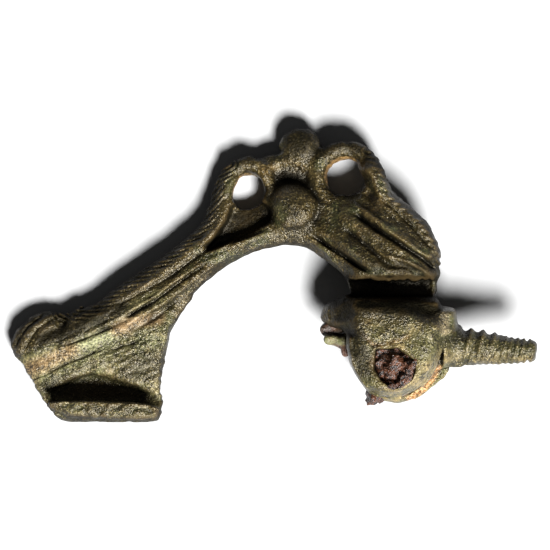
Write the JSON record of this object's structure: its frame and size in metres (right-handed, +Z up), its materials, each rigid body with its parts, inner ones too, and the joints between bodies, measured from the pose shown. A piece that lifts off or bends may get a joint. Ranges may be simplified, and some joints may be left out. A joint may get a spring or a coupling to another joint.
{
  "type": "roman fibula brooch",
  "caption": "Worn Roman bronze bow brooch lying on its side: ribbed finial, hinge head with rusted axle, fluted bell, roped bow with pierced rings and knob, foot knob and rolled catch.",
  "frame": {"origin": "centre of the bounding box at the level of the table the brooch lies on", "axes": "+X from the foot to the ribbed finial, +Y from the catch to the crest knob, +Z up from the table, across the brooch"},
  "size_m": [0.0504, 0.0282, 0.0115],
  "materials": {
    "patinated_bronze": "olive brown to green patina, pitted, with pale worn ridges",
    "rusted_iron": "lumpy dark red-brown rust",
    "corroded_pin_bronze": "yellow-green corroded bronze"
  },
  "bodies": {
    "root": {"cast_body": "patinated_bronze", "hinge_axle": "rusted_iron", "pin_eye": "corroded_pin_bronze"}
  },
  "joints": []
}
